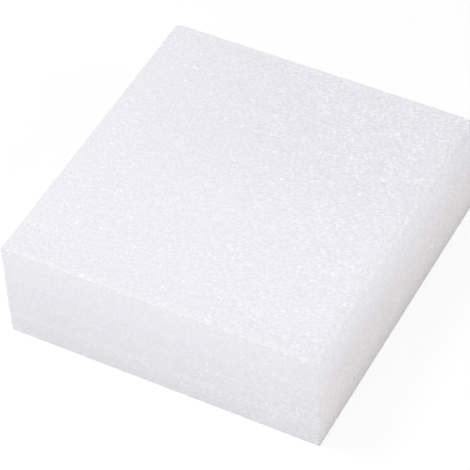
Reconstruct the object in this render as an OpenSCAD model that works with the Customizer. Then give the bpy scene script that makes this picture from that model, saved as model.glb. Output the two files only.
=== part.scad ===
// Foam block: one rectangular block of white closed-cell foam, cut from a plank
// that was built up from thinner sheets fused by heat. The fused sheets can't be
// parted, so the block is a single solid.
// Millimetres. +Z is up, the origin is the centre of the bottom face, +X is to
// the right of the front face and +Y runs back from it.

/* [Block] */
// Width across the front, from the left cut face to the right one
block_w = 146; // [60:1:300]
// Depth from the front cut face to the back one
block_d = 153; // [60:1:300]
// Thickness, which is that of the plank
block_h = 50; // [25:1:100]

/* [Edges] */
// Radius of an edge that the blade left almost sharp
cut_edge_r = 0.8; // [0.4:0.1:2]
// Radius of the soft edge between the top skin and the right face
soft_edge_r = 6; // [3:0.5:12]
// Radius of the rubbed upright corner at the back left
rubbed_corner_r = 2.5; // [1:0.5:6]
// Number of facets that a full circle is drawn with
round_fn = 64; // [24:8:128]

/* [Hidden] */
// How far each outline is drawn past the faces that the other two outlines cut
over = 1;

// A rectangle about the origin. The radii go round from the lower left corner:
// lower left, lower right, upper right, upper left.
module rounded_outline(w, h, radii) {
    ways = [[-1, -1], [1, -1], [1, 1], [-1, 1]];
    difference() {
        square([w, h], center = true);
        for (i = [0:3])
            translate([ways[i].x * w / 2, ways[i].y * h / 2])
                square(2 * radii[i], center = true);
    }
    for (i = [0:3])
        translate([ways[i].x * (w / 2 - radii[i]), ways[i].y * (h / 2 - radii[i])])
            circle(r = radii[i], $fn = round_fn);
}

// The outline seen from above, which rounds the four upright edges
module plan_prism() {
    translate([0, 0, -over])
        linear_extrude(block_h + 2 * over)
            rounded_outline(block_w, block_d, [cut_edge_r, cut_edge_r, cut_edge_r, rubbed_corner_r]);
}

// The outline seen from the front, which rounds the edges that run back along Y
module front_prism() {
    translate([0, block_d / 2 + over, block_h / 2])
        rotate([90, 0, 0])
            linear_extrude(block_d + 2 * over)
                rounded_outline(block_w, block_h, [cut_edge_r, cut_edge_r, soft_edge_r, cut_edge_r]);
}

// The outline seen from the right, which rounds the edges that run across along X
module side_prism() {
    translate([-block_w / 2 - over, 0, block_h / 2])
        rotate([90, 0, 90])
            linear_extrude(block_w + 2 * over)
                rounded_outline(block_d, block_h, [cut_edge_r, cut_edge_r, cut_edge_r, cut_edge_r]);
}

module foam_block() {
    color("whitesmoke")
        intersection() {
            plan_prism();
            front_prism();
            side_prism();
        }
}

foam_block();
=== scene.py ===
"""A block of white closed-cell foam, cut from a plank of fused sheets, in a pale studio."""

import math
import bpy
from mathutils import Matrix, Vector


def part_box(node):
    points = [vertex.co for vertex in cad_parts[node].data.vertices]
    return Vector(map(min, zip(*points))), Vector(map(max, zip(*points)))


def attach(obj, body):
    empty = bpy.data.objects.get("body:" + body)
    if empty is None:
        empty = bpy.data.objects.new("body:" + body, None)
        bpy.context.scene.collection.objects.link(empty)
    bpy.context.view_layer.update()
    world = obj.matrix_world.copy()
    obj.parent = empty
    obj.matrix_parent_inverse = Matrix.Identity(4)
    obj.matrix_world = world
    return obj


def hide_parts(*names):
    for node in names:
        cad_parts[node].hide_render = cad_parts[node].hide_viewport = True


bl_info = {
    "name": "Foam Block",
    "version": (1, 0, 0),
    "blender": (4, 5, 0),
    "location": "View3D > Sidebar > Foam Block",
    "description": "Models a cut block of laminated closed-cell foam and the studio it lies in",
    "category": "Add Mesh",
}

import bmesh
import bpy
from bpy.props import FloatProperty, FloatVectorProperty, PointerProperty
from mathutils import Matrix, Vector

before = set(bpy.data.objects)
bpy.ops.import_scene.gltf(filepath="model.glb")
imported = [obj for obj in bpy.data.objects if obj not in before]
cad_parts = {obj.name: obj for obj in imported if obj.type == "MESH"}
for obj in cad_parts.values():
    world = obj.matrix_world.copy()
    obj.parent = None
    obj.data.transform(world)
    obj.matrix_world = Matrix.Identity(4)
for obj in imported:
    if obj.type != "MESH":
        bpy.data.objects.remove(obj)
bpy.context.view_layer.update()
NODE = "foam_block"
LOW, HIGH = (Vector(corner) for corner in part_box(NODE))
MM = 0.001
WHITE = (1, 1, 1, 1)

# Mesh: how near a plane counts as on it, in metres, how finely each rounded edge is divided, the angle from
# which an edge counts as sharp, and how many times the remesh halves its box
ON_PLANE = 0.01 * MM
SOFT_EDGE_STEPS = 12
RUBBED_CORNER_STEPS = 6
CUT_EDGE_STEPS = 2
SHARP_ANGLE = math.radians(60)
REMESH_DEPTH = 8

# Torn edges, in millimetres: how far from the edge a tear reaches, how big one is, the noise at which one
# starts and is at its deepest, where the front and the back begin, and how deep a tear is at each
TEAR_REACH = 1
TEAR_SIZE = 2.4
TEAR_NOISE = (-0.06, 0.22)
TEAR_FRONT_TO_BACK = (-60, 40)
TEAR_DEPTHS = (0.36, 0.16)


# ---------------------------------------------------------------- settings


class FoamBlockSettings(bpy.types.PropertyGroup):
    """Sizes and colours of the block, in metres and linear colour."""

    grid: FloatProperty(
        name="Grid",
        description="Distance between the points of the block's surface mesh",
        default=0.88 * MM,
        unit="LENGTH",
        precision=5,
    )
    soft_edge: FloatProperty(
        name="Soft Edge",
        description="Radius of the soft edge between the top skin and the right face",
        default=6.0 * MM,
        unit="LENGTH",
        precision=5,
    )
    rubbed_corner: FloatProperty(
        name="Rubbed Corner",
        description="Radius of the rubbed upright corner at the back left",
        default=2.5 * MM,
        unit="LENGTH",
        precision=5,
    )
    cut_edge: FloatProperty(
        name="Cut Edge",
        description="Radius of an edge that the blade left almost sharp",
        default=0.30 * MM,
        unit="LENGTH",
        precision=5,
    )
    cell: FloatProperty(
        name="Cell",
        description="Distance between the middles of neighbouring foam cells",
        default=2.0 * MM,
        unit="LENGTH",
        precision=5,
    )
    skin_relief: FloatProperty(
        name="Skin Relief",
        description="Depth of a cell's dimple on the top skin",
        default=0.16 * MM,
        unit="LENGTH",
        precision=5,
    )
    cut_relief: FloatProperty(
        name="Cut Relief",
        description="Depth of a cell's dimple on a cut face",
        default=0.10 * MM,
        unit="LENGTH",
        precision=5,
    )
    foam_colour: FloatVectorProperty(
        name="Foam",
        description="Colour of the foam",
        default=(0.845, 0.833, 0.884),
        subtype="COLOR",
    )
    # Painted warm shade: the colour is darkened and warmed towards the foot of the cut faces
    painted_warm_shade: FloatVectorProperty(
        name="Painted Warm Shade",
        description="Share of red, green and blue that the grime at the foot of the right face takes away",
        default=(0.07, 0.105, 0.16),
        subtype="XYZ",
    )
    sheet: FloatProperty(
        name="Sheet",
        description="Thickness of one of the sheets that the plank was fused from",
        default=11.2 * MM,
        unit="LENGTH",
        precision=5,
    )


class FoamStageSettings(bpy.types.PropertyGroup):
    """The studio's lights."""

    sky: FloatProperty(
        name="Sky",
        description="Brightness of the even light from all round",
        default=0.40,
        min=0,
    )
    front_lamp: FloatProperty(
        name="Front Lamp",
        description="Power of the low lamp in front",
        default=1.56,
        unit="POWER",
    )
    right_lamp: FloatProperty(
        name="Right Lamp",
        description="Power of the lamp on the right",
        default=1.98,
        unit="POWER",
    )
    left_lamp: FloatProperty(
        name="Left Lamp",
        description="Power of the lamp high up on the left",
        default=2.87,
        unit="POWER",
    )


# ---------------------------------------------------------------- node maths


class Wire:
    """A node socket that Python's operators work on; each operation adds its Math node."""

    def __init__(self, maker, socket):
        self.maker, self.socket = maker, socket

    def _math(self, operation, *values):
        return self.maker.node("ShaderNodeMath", {"operation": operation}, *values)[0]

    def __add__(self, other):
        return self._math("ADD", self, other)

    __radd__ = __add__

    def __sub__(self, other):
        return self._math("SUBTRACT", self, other)

    def __rsub__(self, other):
        return self._math("SUBTRACT", other, self)

    def __mul__(self, other):
        return self._math("MULTIPLY", self, other)

    __rmul__ = __mul__

    def __truediv__(self, other):
        return self._math("DIVIDE", self, other)

    def __pow__(self, other):
        return self._math("POWER", self, other)

    def __abs__(self):
        return self._math("ABSOLUTE", self)

    def fraction(self):
        return self._math("FRACT", self)


class Maker:
    """Adds nodes to one tree, a material's, a world's or a modifier's."""

    def __init__(self, tree):
        self.tree = tree
        tree.nodes.clear()

    def node(self, kind, settings=None, *values, **named):
        """A node with its settings, then its inputs by place or by name; returns its outputs as wires."""
        made = self.tree.nodes.new(kind)
        for name, value in (settings or {}).items():
            setattr(made, name, value)
        inputs = [(made.inputs[i], v) for i, v in enumerate(values)]
        inputs += [(made.inputs[name.replace("_", " ")], v) for name, v in named.items()]
        for socket, value in inputs:
            if isinstance(value, Wire):
                self.tree.links.new(value.socket, socket)
            elif value is not None:
                socket.default_value = value
        return [Wire(self, s) for s in made.outputs]

    def vector(self, operation, *values):
        return self.node("ShaderNodeVectorMath", {"operation": operation}, *values)[0]

    def scaled(self, vector, factor):
        return self.node("ShaderNodeVectorMath", {"operation": "SCALE"}, Vector=vector, Scale=factor)[0]

    def own_place(self):
        """The shaded point in its object's own coordinates, in metres."""
        return self.node("ShaderNodeTexCoord")[3]

    def parts(self, vector):
        return self.node("ShaderNodeSeparateXYZ", None, vector)

    def joined(self, *values):
        return self.node("ShaderNodeCombineXYZ", None, *values)[0]

    def ramp(self, value, start, end):
        """0 where value is at start, 1 where it is at end, smooth between."""
        settings = {"interpolation_type": "SMOOTHSTEP"}
        if start < end:
            return self.node("ShaderNodeMapRange", settings, value, start, end, 0.0, 1.0)[0]
        return self.node("ShaderNodeMapRange", settings, value, end, start, 1.0, 0.0)[0]

    def mix(self, factor, first, second):
        return first + (second - first) * factor

    def noise(self, place, size, detail, roughness=0.5):
        """Soft noise about 0, from -0.5 to 0.5, and a vector of three such."""
        made = self.node("ShaderNodeTexNoise", None, Vector=place, Scale=1 / size, Detail=detail,
                         Roughness=roughness)
        return made[0] - 0.5, self.vector("SUBTRACT", made[1], (0.5, 0.5, 0.5))

    def cells(self, place, size, feature, dimensions):
        settings = {"feature": feature, "voronoi_dimensions": dimensions}
        return self.node("ShaderNodeTexVoronoi", settings, Vector=place, Scale=1 / size)


# ---------------------------------------------------------------- foam pattern

# All places and sizes of the pattern are in millimetres.
# The slow sway and the quick shiver that push the cells out of straight rows: the size, and how far they push
SWAY = (9.0, 3.0)
SHIVER = (1.5, 0.8)
# The depths below the top at which the pattern is all cut foam and all skin, and how much further down the
# skin reaches at the soft edge, where it comes to do so between these distances to the right
SKIN_DEPTHS = (3.5, 1.2)
SKIN_OVER_EDGE = 2
SOFT_EDGE_SPAN = (66, 70)
# The direction in which the top's cells are drawn out. A length along it counts as the sum of the two shares
# to the left of the line and as their difference to the right of it, with a smooth bend between, so the cells
# are longer to the right. Across it they are narrower to the right.
STROKE_ANGLE = math.radians(18)
STRETCH_EVEN, STRETCH_CHANGE = 0.825, 0.185
STRETCH_LINE, STRETCH_BEND = -12, 25.0
ACROSS_LEFT, ACROSS_GAIN = 0.87, 0.17
ACROSS_SPAN = (-50, 40)
# A cell on a cut face, as a share of one on the skin
CUT_CELL = 1.1
# How far from a cell's wall, and from its middle, its wall and its dimple reach, as shares of its size
WALL_REACH = (0.24, 0.0)
DIMPLE_REACH = (0.55, 0.05)
SPOT_REACH = (0.6, 0.15)
# The pattern's contrast at the front left, and what is added to the right, to the back and where both meet
CONTRAST, CONTRAST_RIGHT, CONTRAST_BACK, CONTRAST_BACK_RIGHT = 0.77, 0.28, 0.09, 0.32
CONTRAST_SPAN_X = (-50, 50)
CONTRAST_SPAN_Y = (-20, 60)
# The size of the patches of stronger and weaker contrast, and how much they change it
PATCH_SIZE, PATCH_SHARE = 9.0, 0.6


class Foam:
    """The foam's pattern at a place in millimetres, the same for the relief and for the material."""

    def __init__(self, m, place, s):
        self.m = m
        size = s.cell / MM
        x, y, _ = m.parts(place)
        _, sway = m.noise(place, SWAY[0], 1.0)
        _, shiver = m.noise(place, SHIVER[0], 1.0)
        pushed = m.vector("ADD", m.vector("ADD", place, m.scaled(sway, SWAY[1])), m.scaled(shiver, SHIVER[1]))
        px, py, pz = m.parts(pushed)
        top = HIGH.z / MM
        skin_height = pz + SKIN_OVER_EDGE * m.ramp(x, *SOFT_EDGE_SPAN)
        self.skin = m.ramp(skin_height, *(top - depth for depth in SKIN_DEPTHS))
        self.drawn = self.draw_out(x, px, py, pz)
        skin_cells = self.bubbles(self.drawn, size, "2D")
        cut_cells = self.bubbles(pushed, size * CUT_CELL, "3D")
        self.wall, self.dimple, self.luck = (
            m.mix(self.skin, cut, skin) for skin, cut in zip(skin_cells, cut_cells)
        )
        patch, _ = m.noise(place, PATCH_SIZE, 0.0)
        right = m.ramp(x, *CONTRAST_SPAN_X)
        back = m.ramp(y, *CONTRAST_SPAN_Y)
        even = CONTRAST + CONTRAST_RIGHT * right + (CONTRAST_BACK + CONTRAST_BACK_RIGHT * right) * back
        self.contrast = even * (1 + PATCH_SHARE * patch)

    def draw_out(self, x, px, py, pz):
        """The pushed place px, py, pz with the top's cells drawn out into strokes; x is the place's own."""
        cos, sin = math.cos(STROKE_ANGLE), math.sin(STROKE_ANGLE)
        along = px * cos + py * sin
        across = py * cos - px * sin
        offset = along - STRETCH_LINE
        bend = (offset * offset + STRETCH_BEND ** 2) ** 0.5
        along = STRETCH_EVEN * along - STRETCH_CHANGE * bend
        across = across * (ACROSS_LEFT + ACROSS_GAIN * self.m.ramp(x, *ACROSS_SPAN))
        return self.m.joined(along, across, pz)

    def spots(self, place, size):
        """Small round spots, and each spot's random number."""
        middle, colour = self.m.cells(place, size, "F1", "3D")[:2]
        return self.m.ramp(middle, *SPOT_REACH), self.m.parts(colour)[0]

    def bubbles(self, place, size, dimensions):
        """How near a cell's wall is, how near its middle is, and the cell's random number."""
        m = self.m
        edge = m.cells(place, size, "DISTANCE_TO_EDGE", dimensions)[0]
        middle, colour = m.cells(place, size, "F1", dimensions)[:2]
        return m.ramp(edge, *WALL_REACH), m.ramp(middle, *DIMPLE_REACH), m.parts(colour)[0]


# ---------------------------------------------------------------- mesh helpers


def deselect_all():
    if bpy.context.object and bpy.context.object.mode != "OBJECT":
        bpy.ops.object.mode_set(mode="OBJECT")
    bpy.ops.object.select_all(action="DESELECT")


def select_edges(piece, wanted):
    """In edit mode, selects the edges whose two ends both pass wanted(place)."""
    bpy.ops.mesh.select_mode(type="EDGE")
    bpy.ops.mesh.select_all(action="DESELECT")
    mesh = bmesh.from_edit_mesh(piece.data)
    for edge in mesh.edges:
        edge.select = all(wanted(v.co) for v in edge.verts)
    mesh.select_flush_mode()
    bmesh.update_edit_mesh(piece.data)


def cut_block(low, high, s):
    """The block as the blade leaves it, with its two worn edges rounded."""
    deselect_all()
    bpy.ops.mesh.primitive_cube_add(size=1, location=(low + high) / 2, scale=high - low)
    piece = bpy.context.object
    bpy.ops.object.transform_apply(location=True, rotation=True, scale=True)
    bpy.ops.object.mode_set(mode="EDIT")
    select_edges(piece, lambda p: p.x > high.x - ON_PLANE and p.z > high.z - ON_PLANE)
    bpy.ops.mesh.bevel(offset=s.soft_edge, segments=SOFT_EDGE_STEPS, profile=0.5)
    select_edges(piece, lambda p: p.x < low.x + ON_PLANE and p.y > high.y - ON_PLANE)
    bpy.ops.mesh.bevel(offset=s.rubbed_corner, segments=RUBBED_CORNER_STEPS, profile=0.5)
    bpy.ops.object.mode_set(mode="OBJECT")
    return piece


def soften_cuts(s):
    """Takes the sharpness off every edge that the blade left on the active piece."""
    bpy.ops.object.mode_set(mode="EDIT")
    bpy.ops.mesh.select_mode(type="EDGE")
    bpy.ops.mesh.select_all(action="DESELECT")
    bpy.ops.mesh.edges_select_sharp(sharpness=SHARP_ANGLE)
    bpy.ops.mesh.bevel(offset=s.cut_edge, segments=CUT_EDGE_STEPS, profile=0.5)
    bpy.ops.object.mode_set(mode="OBJECT")


def apply_modifier(piece, kind, **settings):
    made = piece.modifiers.new(kind.title(), kind)
    for name, value in settings.items():
        setattr(made, name, value)
    bpy.ops.object.modifier_apply(modifier=made.name)


def ragged_edge(m, place):
    """How deep, in metres, the blade tore a top or upright edge at a place in millimetres."""
    out = m.parts(m.vector("ABSOLUTE", place))
    ends = (corner / MM for corner in HIGH)
    near_x, near_y, near_z = (m.ramp(value, end - TEAR_REACH, end) for value, end in zip(out, ends))
    edge = near_x * near_y + near_y * near_z + near_z * near_x
    torn = m.ramp(m.noise(place, TEAR_SIZE, 1.0)[0], *TEAR_NOISE)
    depth = m.mix(m.ramp(m.parts(place)[1], *TEAR_FRONT_TO_BACK), *TEAR_DEPTHS)
    return edge * torn * depth * MM


def relief_nodes(s):
    """A modifier's node tree that sinks each cell's dimple into the surface and tears the edges a little."""
    tree = bpy.data.node_groups.new("cell relief", "GeometryNodeTree")
    tree.interface.new_socket("Geometry", in_out="INPUT", socket_type="NodeSocketGeometry")
    tree.interface.new_socket("Geometry", in_out="OUTPUT", socket_type="NodeSocketGeometry")
    m = Maker(tree)
    given = m.node("NodeGroupInput")[0]
    place = m.scaled(m.node("GeometryNodeInputPosition")[0], 1 / MM)
    foam = Foam(m, place, s)
    height = foam.dimple * m.mix(foam.skin, s.cut_relief, s.skin_relief) * -1 - ragged_edge(m, place)
    normal = m.node("GeometryNodeInputNormal")[0]
    moved = m.node("GeometryNodeSetPosition", None, Geometry=given, Offset=m.scaled(normal, height))[0]
    m.node("NodeGroupOutput", None, moved)
    return tree


# ---------------------------------------------------------------- painted light and shade, and the seams

# Each row of the tables below is painted light or shade: a slow brightening or darkening of the
# foam's colour that stands in for how the light falls. It adds its share to the foam's brightness where
# all of its ramps are 1. A ramp is an axis and two places on it in millimetres, and goes from 0 at the
# first to 1 at the second. The back and left faces have the front's painted shading.
# Painted light and shade on the top: lighter right of the left edge and along the back edge, darker over the
# back, near the front edge, at the front left and beside the soft edge
TOP_PAINTED_SHADING = {
    "all over": (-0.003,),
    "right of the left edge": (0.015, ("x", -80, 0)),
    "back, right of the left edge": (-0.035, ("x", -80, 0), ("y", -15, 30)),
    "along the back edge": (0.06, ("y", 72, 76)),
    "along the front edge": (-0.024, ("y", -56, -70), ("y", -76.4, -75.8)),
    "front left": (-0.006, ("x", 30, -65), ("y", -50, -74)),
    "beside the soft edge": (-0.022, ("x", 58, 70)),
}
# Painted light and shade on the front, back and left: lighter over the upper half and at the foot, darker
# just above the foot, at the right end and corner, and on the soft edge towards the back
FRONT_PAINTED_SHADING = {
    "upper half": (0.044, ("z", 22, 46)),
    "middle": (0.012, ("z", 16, 27), ("z", 46, 34)),
    "above the foot": (-0.010, ("z", 12, 6)),
    "foot": (0.085, ("z", 5, 0)),
    "right end": (-0.033, ("x", 56, 71), ("y", -74, -76)),
    "right corner": (-0.02, ("x", 71, 72.5), ("y", -74, -76)),
    "soft edge, to the back": (-0.028, ("x", 68, 70.5), ("z", 44, 48), ("y", 15, 45)),
}
# Painted light and shade on the right face: lighter over the upper half, under the soft edge and towards the
# front end, and painted shade at the foot and along the lowest edge, where the shadow falls
RIGHT_PAINTED_SHADING = {
    "upper half": (0.032, ("z", 22, 46)),
    "under the soft edge": (0.032, ("z", 43, 48)),
    "lower half": (0.016, ("z", 36, 26)),
    "front end": (0.03, ("y", -30, -65), ("z", 40, 5)),
    "foot": (-0.070, ("z", 13, 2)),
    "lowest edge": (-0.06, ("z", 4.5, 0.5)),
}
# Painted shade high up and painted light low down at the far end of the right face
RIGHT_FAR_END_PAINTED_SHADING = {
    "upper half": (-0.03, ("z", 26, 34), ("x", 68, 72), ("y", 35, 62)),
    "under the soft edge": (-0.03, ("z", 40, 46), ("x", 68, 72), ("y", 35, 62)),
    "lower half": (0.02, ("z", 24, 14), ("x", 68, 72), ("y", 35, 62)),
}
# Painted shade on the front's top and right edges, which darkens the highlight that their rounding catches
BLADE_EDGE_PAINTED_SHADE = {
    "top edge of the front": (-0.042, ("y", -75.5, -76.2), ("z", 49.1, 49.7)),
    "right edge of the front": (-0.050, ("y", -76.0, -76.3), ("x", 72.4, 72.8)),
}
# Where the top's painted shading gives way to a cut face's, by height, and the front's to the right
# face's, by the distance to the right
TOP_TO_CUT = (49.7, 48.6)
FRONT_TO_RIGHT = (71.8, 72.8)
# The seams between two sheets: how much of the lowest sheet's foot is missing; the parts of a sheet that the
# pale lip above a seam and the darker line under the next one take up; how strong the line is to the lip; how
# strong the lip is on the left and right and on the front and back, which start at these distances; and the
# heights between which both fade, to this share at the top
MISSING_FOOT = 1
LIP = (0.36, 0.0)
UNDER = (0.72, 1.0)
UNDER_SHARE = 0.35
SEAM_SIDES, SEAM_FRONT = 0.005, 0.020
FRONT_OR_BACK = (74.0, 76.0)
SEAM_FADE = (46, 10)
SEAM_AT_TOP = 0.45


def tone(m, place, rows):
    """The sum of a table's rows at a place, given as a wire for each axis."""
    total = 0
    for share, *ramps in rows.values():
        for axis, start, end in ramps:
            share = share * m.ramp(place[axis], start, end)
        total = share + total
    return total


def seam_tone(m, place, s):
    """The pale lip just above each seam between two sheets, and the darker line under it."""
    above = ((place["z"] + MISSING_FOOT) / (s.sheet / MM)).fraction()
    lip = m.ramp(above, *LIP) - UNDER_SHARE * m.ramp(above, *UNDER)
    strength = m.mix(m.ramp(abs(place["y"]), *FRONT_OR_BACK), SEAM_SIDES, SEAM_FRONT)
    return lip * strength * m.mix(m.ramp(place["z"], *SEAM_FADE), SEAM_AT_TOP, 1.0)


def seams_and_painted_shading(m, place, side, s):
    """Painted light and shade at a place on any face, and the seams; side is 1 on the right face."""
    cut = m.mix(side, tone(m, place, FRONT_PAINTED_SHADING), tone(m, place, RIGHT_PAINTED_SHADING))
    cut = cut + seam_tone(m, place, s) + tone(m, place, RIGHT_FAR_END_PAINTED_SHADING)
    faces = m.mix(m.ramp(place["z"], *TOP_TO_CUT), tone(m, place, TOP_PAINTED_SHADING), cut)
    return faces + tone(m, place, BLADE_EDGE_PAINTED_SHADE)


# ---------------------------------------------------------------- foam material

# Grain: the size of its coarse and fine noise in millimetres and how strong each is, and how strong a cell's
# wall is against the walls' mean
COARSE_SIZE = 3.0
COARSE_LEFT, COARSE_RIGHT = 0.01, 0.03
COARSE_SPAN = (-60, 20)
FINE_SIZE, FINE_DETAIL, FINE_ROUGHNESS = 0.92, 0.2, 0.4
FINE_SHARE = 0.23
WALL_SHARE, WALL_MEAN = 0.020, 0.25
# On a cut face the grain is weaker at the top than at the foot, and the right face has this much more
CUT_GRAIN_TOP, CUT_GRAIN_FOOT, RIGHT_GRAIN = 0.66, 1.04, 0.25
CUT_GRAIN_FADE = (46, 10)
# The grain's square is added this many times over, which makes pale grain stronger than dark grain
PALE_GRAIN = 5
# Flecks: their size in millimetres, the luck that makes a spot one, and how pale they are
FLECK_SIZE = 1.1
FLECK_LUCK = (0.88, 0.96)
FLECK_SHARE, FLECK_SHARE_RIGHT = 0.085, 0.20
# Glints: the luck that makes a cell one, the part of the cell that shines, how pale it is painted, which
# # is a painted highlight in the colour, and how smooth it is
GLINT_LUCK = (0.970, 0.990)
GLINT_PART = (0.3, 0.9)
PAINTED_GLINT_SHARE = 0.18
ROUGHNESS, GLINT_SMOOTHING = 0.5, 0.3
# Painted warm shade, which darkens and warms the colour towards the foot of the cut faces: its strength
# # at the foot of the right face, its share on the other cut faces, the heights between which it comes in,
# # and the size of its patches and how far they move its edge, in millimetres
WARM_SHADE_STRENGTH, WARM_SHADE_ELSEWHERE = 0.86, 0.12
WARM_SHADE_FADE = (50, 8)
WARM_SHADE_PATCH, WARM_SHADE_WANDER = 22.0, 16
# Bump: the parts of a cell's relief that its wall and its dimple have in the shading, and the fine grain's
# height
BUMP_WALL, BUMP_DIMPLE = 0.2, 0.25
BUMP_FINE = 0.02 * MM
# Light that goes a little way into the foam and comes out again, and the shine of the cells' walls
SUBSURFACE = 0.25
SUBSURFACE_DEPTH = 16 * MM
SPECULAR = 0.3


def foam_material(s):
    material = bpy.data.materials.new("foam")
    material.use_nodes = True
    m = Maker(material.node_tree)
    place = m.scaled(m.own_place(), 1 / MM)
    foam = Foam(m, place, s)
    x, y, z = m.parts(place)
    side = m.ramp(x, *FRONT_TO_RIGHT)
    coarse, _ = m.noise(foam.drawn, COARSE_SIZE, 0.0)
    fine, _ = m.noise(foam.drawn, FINE_SIZE, FINE_DETAIL, FINE_ROUGHNESS)
    spot, spot_luck = foam.spots(foam.drawn, FLECK_SIZE)
    fleck = m.ramp(spot_luck, *FLECK_LUCK) * spot
    glint = m.ramp(foam.luck, *GLINT_LUCK) * m.ramp(foam.dimple, *GLINT_PART)
    coarse = coarse * m.mix(m.ramp(x, *COARSE_SPAN), COARSE_LEFT, COARSE_RIGHT)
    grain = (foam.wall - WALL_MEAN) * WALL_SHARE + fine * FINE_SHARE + coarse
    cut_grain = m.mix(m.ramp(z, *CUT_GRAIN_FADE), CUT_GRAIN_TOP, CUT_GRAIN_FOOT) + RIGHT_GRAIN * side
    grain = grain * foam.contrast * m.mix(foam.skin, cut_grain, 1.0)
    # The glints are painted highlights in the colour, and are also made smoother
    shade = 1 + grain + PALE_GRAIN * grain * grain + glint * PAINTED_GLINT_SHARE
    shade = shade + fleck * m.mix(side, FLECK_SHARE, FLECK_SHARE_RIGHT)
    shade = shade + seams_and_painted_shading(m, {"x": x, "y": y, "z": z}, side, s)
    # Painted warm shade towards the foot of the cut faces, strongest on the right face
    painted_warm_shade = WARM_SHADE_STRENGTH * m.ramp(z + WARM_SHADE_WANDER * m.noise(place, WARM_SHADE_PATCH, 1.0)[0], *WARM_SHADE_FADE)
    painted_warm_shade = painted_warm_shade * m.mix(side, WARM_SHADE_ELSEWHERE, 1.0) * (1 - foam.skin)
    kept = m.vector("SUBTRACT", (1.0, 1.0, 1.0), m.scaled(tuple(s.painted_warm_shade), painted_warm_shade))
    colour = m.vector("MULTIPLY", m.scaled(m.joined(*s.foam_colour), shade), kept)
    relief = m.mix(foam.skin, s.cut_relief, s.skin_relief)
    height = (foam.wall * BUMP_WALL - foam.dimple * BUMP_DIMPLE) * relief + fine * BUMP_FINE
    bump = m.node("ShaderNodeBump", None, Strength=1.0, Distance=1.0, Height=height)[0]
    shader = m.node("ShaderNodeBsdfPrincipled", None, Base_Color=colour,
                    Roughness=ROUGHNESS - GLINT_SMOOTHING * glint, Normal=bump,
                    Specular_IOR_Level=SPECULAR, Subsurface_Weight=SUBSURFACE,
                    Subsurface_Radius=(1, 1, 1), Subsurface_Scale=SUBSURFACE_DEPTH)[0]
    m.node("ShaderNodeOutputMaterial", None, shader)
    return material


# ---------------------------------------------------------------- studio

# The lamps: where each stands, how wide it is and what it looks at, in metres
LAMP_PLACES = {"front": (0, -0.77, 0.24), "right": (0.66, 0, 0.49), "left": (-0.39, -0.10, 0.72)}
LAMP_WIDTH = 0.45
LAMP_AIM = Vector((0, 0, 0.03))

# The floor: its radius in metres and its number of sides, the light it throws back, how brightly it glows to
# the camera, how much of that glow shows near the block, where the shadow falls, and the distances over which
# the glow becomes whole
FLOOR_RADIUS = 5
FLOOR_SIDES = 96
FLOOR_BOUNCE = (0.81, 0.81, 0.81, 1)
FLOOR_GLOW = 1.03
FLOOR_GLOW_NEAR = 0.75
FLOOR_FADE = (0.3, 0.9)

# The camera: its angles, its distance from the middle of the bottom face, and how far it is moved to its own
# left and up, in metres. The lens is a focal length of so many pixels in a square frame of so many, on a
# sensor this many millimetres wide.
VIEW_YAW = math.radians(-29.77)
VIEW_PITCH = math.radians(46.505)
VIEW_ROLL = math.radians(-2.96)
VIEW_DISTANCE = 1.118608
VIEW_LEFT = 0.005225
VIEW_RAISE = 0.012883
VIEW_SENSOR = 36
FRAME_PIXELS = 470
FOCAL_PIXELS = 2579.7
VIEW_CLIP = (0.01, 50)


def white_rays(m):
    """1 for the camera's own rays and those that a glossy or clear surface passes on, which see white."""
    camera, _, _, glossy, _, _, clear = m.node("ShaderNodeLightPath")[:7]
    return camera + glossy + clear


def make_floor():
    deselect_all()
    bpy.ops.mesh.primitive_circle_add(vertices=FLOOR_SIDES, radius=FLOOR_RADIUS, fill_type="NGON",
                                      location=(0, 0, 0))
    floor = bpy.context.object
    floor.name = floor.data.name = "floor"
    material = bpy.data.materials.new("floor")
    material.use_nodes = True
    m = Maker(material.node_tree)
    seen = white_rays(m)
    x, y, _ = m.parts(m.own_place())
    far = m.ramp((x * x + y * y) ** 0.5, *FLOOR_FADE)
    bounce = m.node("ShaderNodeBsdfDiffuse", None, FLOOR_BOUNCE)[0]
    paper = m.node("ShaderNodeBsdfDiffuse", None, WHITE)[0]
    glow = m.node("ShaderNodeEmission", None, WHITE, FLOOR_GLOW)[0]
    near_white = m.node("ShaderNodeMixShader", None, m.mix(far, FLOOR_GLOW_NEAR, 1.0), paper, glow)[0]
    whitened = m.node("ShaderNodeMixShader", None, seen, bounce, near_white)[0]
    m.node("ShaderNodeOutputMaterial", None, whitened)
    floor.data.materials.append(material)


def light_world(scene, s):
    world = bpy.data.worlds.new("studio")
    scene.world = world
    world.use_nodes = True
    m = Maker(world.node_tree)
    seen = white_rays(m)
    light = m.node("ShaderNodeBackground", None, WHITE, s.sky)[0]
    white = m.node("ShaderNodeBackground", None, WHITE, 1.0)[0]
    shader = m.node("ShaderNodeMixShader", None, seen, light, white)[0]
    m.node("ShaderNodeOutputWorld", None, shader)


def place_lamp(name, place, power):
    """A round lamp of this power that looks at the middle of the block."""
    data = bpy.data.lights.new(name, "AREA")
    data.shape, data.size, data.energy = "DISK", LAMP_WIDTH, power
    lamp = bpy.data.objects.new(name, data)
    bpy.context.collection.objects.link(lamp)
    lamp.location = place
    aim = LAMP_AIM - lamp.location
    lamp.rotation_euler = aim.to_track_quat("-Z", "Y").to_euler()


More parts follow.
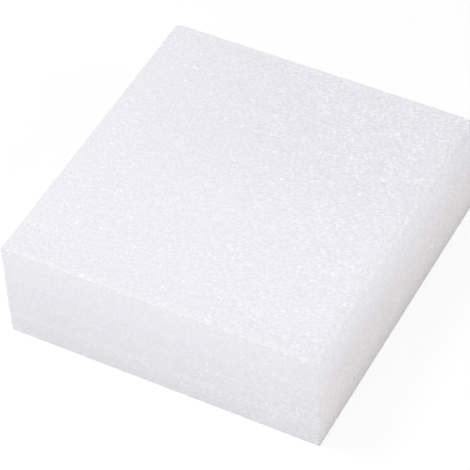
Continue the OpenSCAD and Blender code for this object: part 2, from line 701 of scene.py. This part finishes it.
def place_camera(scene):
    data = bpy.data.cameras.new("camera")
    data.lens, data.sensor_width = VIEW_SENSOR * FOCAL_PIXELS / FRAME_PIXELS, VIEW_SENSOR
    data.clip_start, data.clip_end = VIEW_CLIP
    camera = bpy.data.objects.new("camera", data)
    bpy.context.collection.objects.link(camera)
    ahead = Vector((math.sin(VIEW_YAW) * math.cos(VIEW_PITCH), math.cos(VIEW_YAW) * math.cos(VIEW_PITCH),
                    -math.sin(VIEW_PITCH)))
    level = Vector((math.cos(VIEW_YAW), -math.sin(VIEW_YAW), 0))
    up = level.cross(ahead)
    aside = math.cos(VIEW_ROLL) * level + math.sin(VIEW_ROLL) * up
    up = -math.sin(VIEW_ROLL) * level + math.cos(VIEW_ROLL) * up
    turn = Matrix((aside, up, -ahead)).transposed()
    place = -ahead * VIEW_DISTANCE - aside * VIEW_LEFT + up * VIEW_RAISE
    camera.matrix_world = Matrix.Translation(place) @ turn.to_4x4()
    scene.camera = camera


# ---------------------------------------------------------------- operators and panel


class FOAM_OT_block(bpy.types.Operator):
    """Models the foam block in place of its plain solid"""

    bl_idname = "foam.block"
    bl_label = "Foam Block"

    def execute(self, context):
        s = context.scene.foam_block
        piece = cut_block(LOW, HIGH, s)
        piece.name = piece.data.name = "foam_body"
        longest = max(HIGH - LOW)
        scale = longest / (s.grid * 2 ** REMESH_DEPTH)
        apply_modifier(piece, "REMESH", mode="SHARP", octree_depth=REMESH_DEPTH, scale=scale, sharpness=1.0)
        soften_cuts(s)
        apply_modifier(piece, "NODES", node_group=relief_nodes(s))
        bpy.ops.object.shade_smooth()
        apply_modifier(piece, "WEIGHTED_NORMAL", mode="FACE_AREA")
        piece.data.materials.append(foam_material(s))
        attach(piece, "root")
        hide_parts(NODE)
        return {"FINISHED"}


class FOAM_OT_stage(bpy.types.Operator):
    """Lays the floor and places the lamps and the camera"""

    bl_idname = "foam.stage"
    bl_label = "Studio"

    def execute(self, context):
        s = context.scene.foam_stage
        make_floor()
        light_world(context.scene, s)
        for name, place in LAMP_PLACES.items():
            place_lamp(name, place, getattr(s, f"{name}_lamp"))
        place_camera(context.scene)
        context.scene.view_settings.view_transform = "Standard"
        return {"FINISHED"}


class FOAM_PT_panel(bpy.types.Panel):
    """Lists the settings of the block and the studio, and the buttons that build them"""

    bl_idname = "FOAM_PT_panel"
    bl_label = "Foam Block"
    bl_space_type = "VIEW_3D"
    bl_region_type = "UI"
    bl_category = "Foam Block"

    def draw(self, context):
        layout = self.layout
        for settings in (context.scene.foam_block, context.scene.foam_stage):
            for name in settings.__annotations__:
                layout.prop(settings, name)
        layout.operator(FOAM_OT_block.bl_idname)
        layout.operator(FOAM_OT_stage.bl_idname)


CLASSES = (FoamBlockSettings, FoamStageSettings, FOAM_OT_block, FOAM_OT_stage, FOAM_PT_panel)


def register():
    for made in CLASSES:
        bpy.utils.register_class(made)
    bpy.types.Scene.foam_block = PointerProperty(type=FoamBlockSettings)
    bpy.types.Scene.foam_stage = PointerProperty(type=FoamStageSettings)


def unregister():
    del bpy.types.Scene.foam_stage
    del bpy.types.Scene.foam_block
    for made in reversed(CLASSES):
        bpy.utils.unregister_class(made)


def main():
    register()
    bpy.ops.foam.block()
    bpy.ops.foam.stage()


if __name__ == "__main__":
    main()
